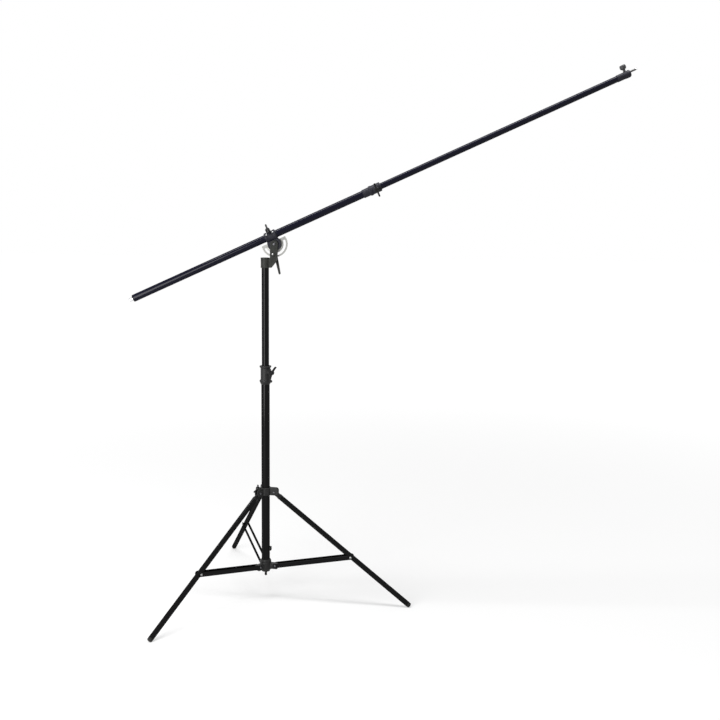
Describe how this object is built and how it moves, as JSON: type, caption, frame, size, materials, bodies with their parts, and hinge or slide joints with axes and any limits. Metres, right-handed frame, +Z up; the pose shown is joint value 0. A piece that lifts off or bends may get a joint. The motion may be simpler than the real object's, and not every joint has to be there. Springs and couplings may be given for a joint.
{
  "type": "boom stand",
  "caption": "Boom stand for lights or microphones: telescoping column on folding braced legs, slotted half-moon tilt head, and a telescoping boom with T-knob clamps and a spigot tip.",
  "frame": {"origin": "middle of the bounding box's footprint, on the floor", "axes": "+Z up; +X along the boom as seen from above, tail to tip; +Y away from the side that carries the boom collar's knob"},
  "size_m": [2.048, 1.0804, 2.242],
  "materials": {
    "tube_black": "gloss black coated",
    "brace_black": "gloss black",
    "cast_grey": "satin dark grey coated casting",
    "knob_black": "satin black",
    "rubber_black": "matt black",
    "plate_silver": "satin zinc plated sheet",
    "zinc": "bright zinc plated",
    "chrome": "polished"
  },
  "bodies": {
    "column": {"lower_tube": "tube_black", "bottom_plug": "rubber_black", "brace_hub": "cast_grey", "hub_rivet_left": "zinc", "hub_rivet_right": "zinc", "hub_rivet_rear": "zinc", "tube_bumper": "rubber_black", "section_collar": "cast_grey", "collar_screw": "zinc"},
    "section_knob": {"section_knob": "knob_black"},
    "leg_collar": {"leg_collar": "cast_grey", "leg_rivet_left": "zinc", "leg_rivet_right": "zinc", "leg_rivet_rear": "zinc"},
    "leg_collar_knob": {"leg_collar_knob": "knob_black"},
    "leg_left": {"leg_tube_left": "tube_black", "leg_fitting_left": "knob_black", "foot_left": "rubber_black"},
    "leg_right": {"leg_tube_right": "tube_black", "leg_fitting_right": "knob_black", "foot_right": "rubber_black"},
    "leg_rear": {"leg_tube_rear": "tube_black", "leg_fitting_rear": "knob_black", "foot_rear": "rubber_black"},
    "brace_left": {"brace_bar_left_a": "brace_black", "brace_bar_left_b": "brace_black", "brace_rivet_left_a": "zinc", "brace_rivet_left_b": "zinc"},
    "brace_right": {"brace_bar_right_a": "brace_black", "brace_bar_right_b": "brace_black", "brace_rivet_right_a": "zinc", "brace_rivet_right_b": "zinc"},
    "brace_rear": {"brace_bar_rear_a": "brace_black", "brace_bar_rear_b": "brace_black", "brace_rivet_rear_a": "zinc", "brace_rivet_rear_b": "zinc"},
    "mast_carriage": {"guide_bush": "knob_black"},
    "mast": {"upper_tube": "tube_black", "mast_head": "cast_grey", "pivot_bolt": "zinc", "pivot_nut": "zinc", "lock_bolt": "chrome"},
    "tilt_lever": {"tilt_lever": "knob_black"},
    "clamp": {"boom_clamp": "cast_grey", "tilt_plate": "plate_silver", "clamp_screw_front": "zinc", "clamp_screw_rear": "zinc", "plate_screw_front": "zinc", "plate_screw_rear": "zinc"},
    "boom_clamp_knob": {"boom_clamp_knob": "knob_black"},
    "boom": {"rear_tube": "tube_black", "tail_plug": "knob_black", "tail_stud": "chrome", "boom_collar": "cast_grey"},
    "boom_collar_knob": {"boom_collar_knob": "knob_black"},
    "extension_carriage": {"inner_bush": "knob_black"},
    "extension": {"front_tube": "tube_black", "tip_adapter": "cast_grey"},
    "spigot": {"tip_spigot": "chrome"},
    "tip_knob": {"tip_knob": "knob_black"}
  },
  "joints": [
    {"name": "leg_fold", "type": "slide", "parent": "column", "child": "leg_collar", "axis": [0, 0, 1], "range_m": [0, 0.4357]},
    {"name": "leg_left_hinge", "type": "hinge", "parent": "leg_collar", "child": "leg_left", "pos_m": [-0.48441, -0.08293, 0.46302], "axis": [0.766, -0.6428, 0], "range_deg": [-0.05, 52.2]},
    {"name": "brace_left_hinge", "type": "hinge", "parent": "column", "child": "brace_left", "pos_m": [-0.48827, -0.08753, 0.14], "axis": [0.766, -0.6428, 0], "range_deg": [-80.26, 0.05]},
    {"name": "leg_right_hinge", "type": "hinge", "parent": "leg_collar", "child": "leg_right", "pos_m": [-0.42256, -0.06042, 0.46302], "axis": [0.1736, 0.9848, 0], "range_deg": [-0.05, 52.2]},
    {"name": "brace_right_hinge", "type": "hinge", "parent": "column", "child": "brace_right", "pos_m": [-0.41665, -0.06146, 0.14], "axis": [0.1736, 0.9848, 0], "range_deg": [-80.26, 0.05]},
    {"name": "leg_rear_hinge", "type": "hinge", "parent": "leg_collar", "child": "leg_rear", "pos_m": [-0.47298, -0.01812, 0.46302], "axis": [-0.9397, -0.342, 0], "range_deg": [-0.05, 52.2]},
    {"name": "brace_rear_hinge", "type": "hinge", "parent": "column", "child": "brace_rear", "pos_m": [-0.47503, -0.01248, 0.14], "axis": [-0.9397, -0.342, 0], "range_deg": [-80.26, 0.05]},
    {"name": "leg_collar_knob_turn", "type": "hinge", "parent": "leg_collar", "child": "leg_collar_knob", "pos_m": [-0.48835, -0.04882, 0.47302], "axis": [-0.9848, 0.1736, 0], "continuous": true},
    {"name": "section_knob_turn", "type": "hinge", "parent": "column", "child": "section_knob", "pos_m": [-0.43601, -0.07394, 0.98], "axis": [0.766, -0.6428, 0], "continuous": true},
    {"name": "mast_slide", "type": "slide", "parent": "column", "child": "mast_carriage", "axis": [0, 0, 1], "range_m": [-0.37, 0.25]},
    {"name": "mast_swivel", "type": "hinge", "parent": "mast_carriage", "child": "mast", "pos_m": [-0.45998, -0.05382, 0.6], "axis": [0, 0, 1], "continuous": true},
    {"name": "tilt_lever_turn", "type": "hinge", "parent": "mast", "child": "tilt_lever", "pos_m": [-0.42861, -0.05382, 1.46921], "axis": [0, -1, 0], "range_deg": [-15, 45]},
    {"name": "boom_tilt", "type": "hinge", "parent": "mast", "child": "clamp", "pos_m": [-0.42208, -0.05382, 1.5104], "axis": [0, -1, 0], "range_deg": [-69.8, 30.2]},
    {"name": "boom_clamp_knob_turn", "type": "hinge", "parent": "clamp", "child": "boom_clamp_knob", "pos_m": [-0.44615, -0.07025, 1.56241], "axis": [-0.3354, -0.6018, 0.7248], "continuous": true},
    {"name": "boom_slide", "type": "slide", "parent": "clamp", "child": "boom", "axis": [0.9076, 0, 0.4199], "range_m": [-0.38, 0.58]},
    {"name": "boom_collar_knob_turn", "type": "hinge", "parent": "boom", "child": "boom_collar_knob", "pos_m": [-0.00741, -0.07759, 1.73582], "axis": [0.0873, -0.9781, -0.1887], "continuous": true},
    {"name": "extension_slide", "type": "slide", "parent": "boom", "child": "extension_carriage", "axis": [0.9076, 0, 0.4199], "range_m": [-0.95, 0]},
    {"name": "extension_roll", "type": "hinge", "parent": "extension_carriage", "child": "extension", "pos_m": [-0.07397, -0.05382, 1.71059], "axis": [0.9076, 0, 0.4199], "continuous": true},
    {"name": "spigot_turn", "type": "hinge", "parent": "extension", "child": "spigot", "pos_m": [1.013, -0.05382, 2.21904], "axis": [0.9076, 0, 0.4199], "continuous": true},
    {"name": "tip_knob_turn", "type": "hinge", "parent": "extension", "child": "tip_knob", "pos_m": [0.97971, -0.05382, 2.19813], "axis": [-0.4199, 0, 0.9076], "continuous": true}
  ],
  "couplings": [
    {"joint": "leg_left_hinge", "follows": "leg_fold", "rad_per_m": 2.089},
    {"joint": "brace_left_hinge", "follows": "leg_fold", "rad_per_m": -3.2131},
    {"joint": "leg_right_hinge", "follows": "leg_fold", "rad_per_m": 2.089},
    {"joint": "brace_right_hinge", "follows": "leg_fold", "rad_per_m": -3.2131},
    {"joint": "leg_rear_hinge", "follows": "leg_fold", "rad_per_m": 2.089},
    {"joint": "brace_rear_hinge", "follows": "leg_fold", "rad_per_m": -3.2131}
  ]
}
